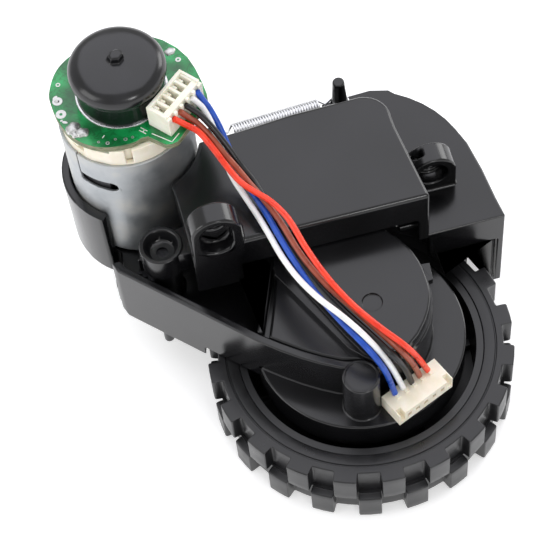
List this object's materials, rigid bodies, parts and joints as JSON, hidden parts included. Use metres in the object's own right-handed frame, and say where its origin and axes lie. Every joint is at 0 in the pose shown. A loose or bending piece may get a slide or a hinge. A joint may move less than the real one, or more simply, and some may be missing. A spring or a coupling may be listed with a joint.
{
  "type": "robot vacuum wheel module",
  "caption": "Robot vacuum drive wheel module: geared motor and lugged tyre on a sprung swing arm in a black housing, with a wired plug.",
  "frame": {"origin": "centre of the wheel's outer face, on the wheel's axis; the module lies on this face", "axes": "+Z along the wheel's axis towards the motor side, -Y towards the floor the robot drives on, X along the driving direction"},
  "size_m": [0.0899, 0.0941, 0.0751],
  "materials": {
    "housing_plastic": "satin",
    "tyre_rubber": "matte",
    "can_steel": "satin",
    "steel": "satin",
    "bronze": "satin",
    "core_steel": "matte",
    "ferrite": "matte",
    "copper": "gloss",
    "carbon": "matte",
    "cream_nylon": "satin",
    "gear_acetal": "satin",
    "board_laminate": "gloss",
    "chip_black": "satin",
    "solder": "gloss",
    "contact_brass": "gloss",
    "cap_rubber": "matte",
    "wire_red": "satin",
    "wire_brown": "satin",
    "wire_black": "satin",
    "wire_white": "satin",
    "wire_blue": "satin"
  },
  "bodies": {
    "frame": {"frame": "housing_plastic", "pivot_pin": "steel"},
    "arm": {"arm_case": "housing_plastic", "case_deck": "housing_plastic", "gear_cover": "housing_plastic", "cover_screws": "steel", "axle_pins": "steel", "shaft_bushes": "bronze", "motor_can": "can_steel", "motor_screws": "steel", "motor_magnets": "ferrite", "end_bell": "cream_nylon", "motor_bushes": "bronze", "brushes": "carbon", "board": "board_laminate", "board_parts": "chip_black", "solder_joints": "solder", "header": "cream_nylon", "header_pins": "contact_brass", "cap_ring": "steel", "motor_cap": "cap_rubber", "spring": "steel", "plug": "cream_nylon", "plug_contacts": "contact_brass", "red_wire": "wire_red", "brown_wire": "wire_brown", "black_wire": "wire_black", "white_wire": "wire_white", "blue_wire": "wire_blue"},
    "rotor": {"rotor_shaft": "steel", "motor_pinion": "bronze", "armature": "core_steel", "windings": "copper", "commutator": "copper", "speed_magnet": "ferrite"},
    "gear_1": {"gear_1": "gear_acetal"},
    "gear_2": {"gear_2": "gear_acetal"},
    "gear_3": {"gear_3": "gear_acetal"},
    "wheel": {"output_gear": "gear_acetal", "wheel_shaft": "steel", "shaft_clip": "steel", "hub_screw": "steel", "hub_cap": "housing_plastic", "rim": "housing_plastic", "tyre": "tyre_rubber"}
  },
  "joints": [
    {"name": "arm_swing", "type": "hinge", "parent": "frame", "child": "arm", "pos_m": [-0.0367, 0.0218, 0.03], "axis": [0, 0, 1], "range_deg": [0, 8], "stiffness_Nm_per_rad": 1.2, "springref_deg": -14.32, "deforming": ["spring"]},
    {"name": "wheel_spin", "type": "hinge", "parent": "arm", "child": "wheel", "pos_m": [0, 0, 0.01], "axis": [0, 0, 1], "continuous": true},
    {"name": "gear_3_spin", "type": "hinge", "parent": "arm", "child": "gear_3", "pos_m": [-0.00639, 0.0158, 0.03], "axis": [0, 0, 1], "continuous": true},
    {"name": "gear_2_spin", "type": "hinge", "parent": "arm", "child": "gear_2", "pos_m": [-0.01326, 0.02801, 0.03], "axis": [0, 0, 1], "continuous": true},
    {"name": "gear_1_spin", "type": "hinge", "parent": "arm", "child": "gear_1", "pos_m": [-0.02281, 0.03277, 0.03], "axis": [0, 0, 1], "continuous": true},
    {"name": "motor_spin", "type": "hinge", "parent": "arm", "child": "rotor", "pos_m": [-0.0375, 0.0451, 0.04], "axis": [0, 0, 1], "continuous": true}
  ],
  "couplings": [
    {"joint": "gear_3_spin", "follows": "wheel_spin", "ratio": -2.4286},
    {"joint": "gear_2_spin", "follows": "wheel_spin", "ratio": 5.551},
    {"joint": "gear_1_spin", "follows": "wheel_spin", "ratio": -13.878},
    {"joint": "motor_spin", "follows": "wheel_spin", "ratio": 74.014}
  ]
}
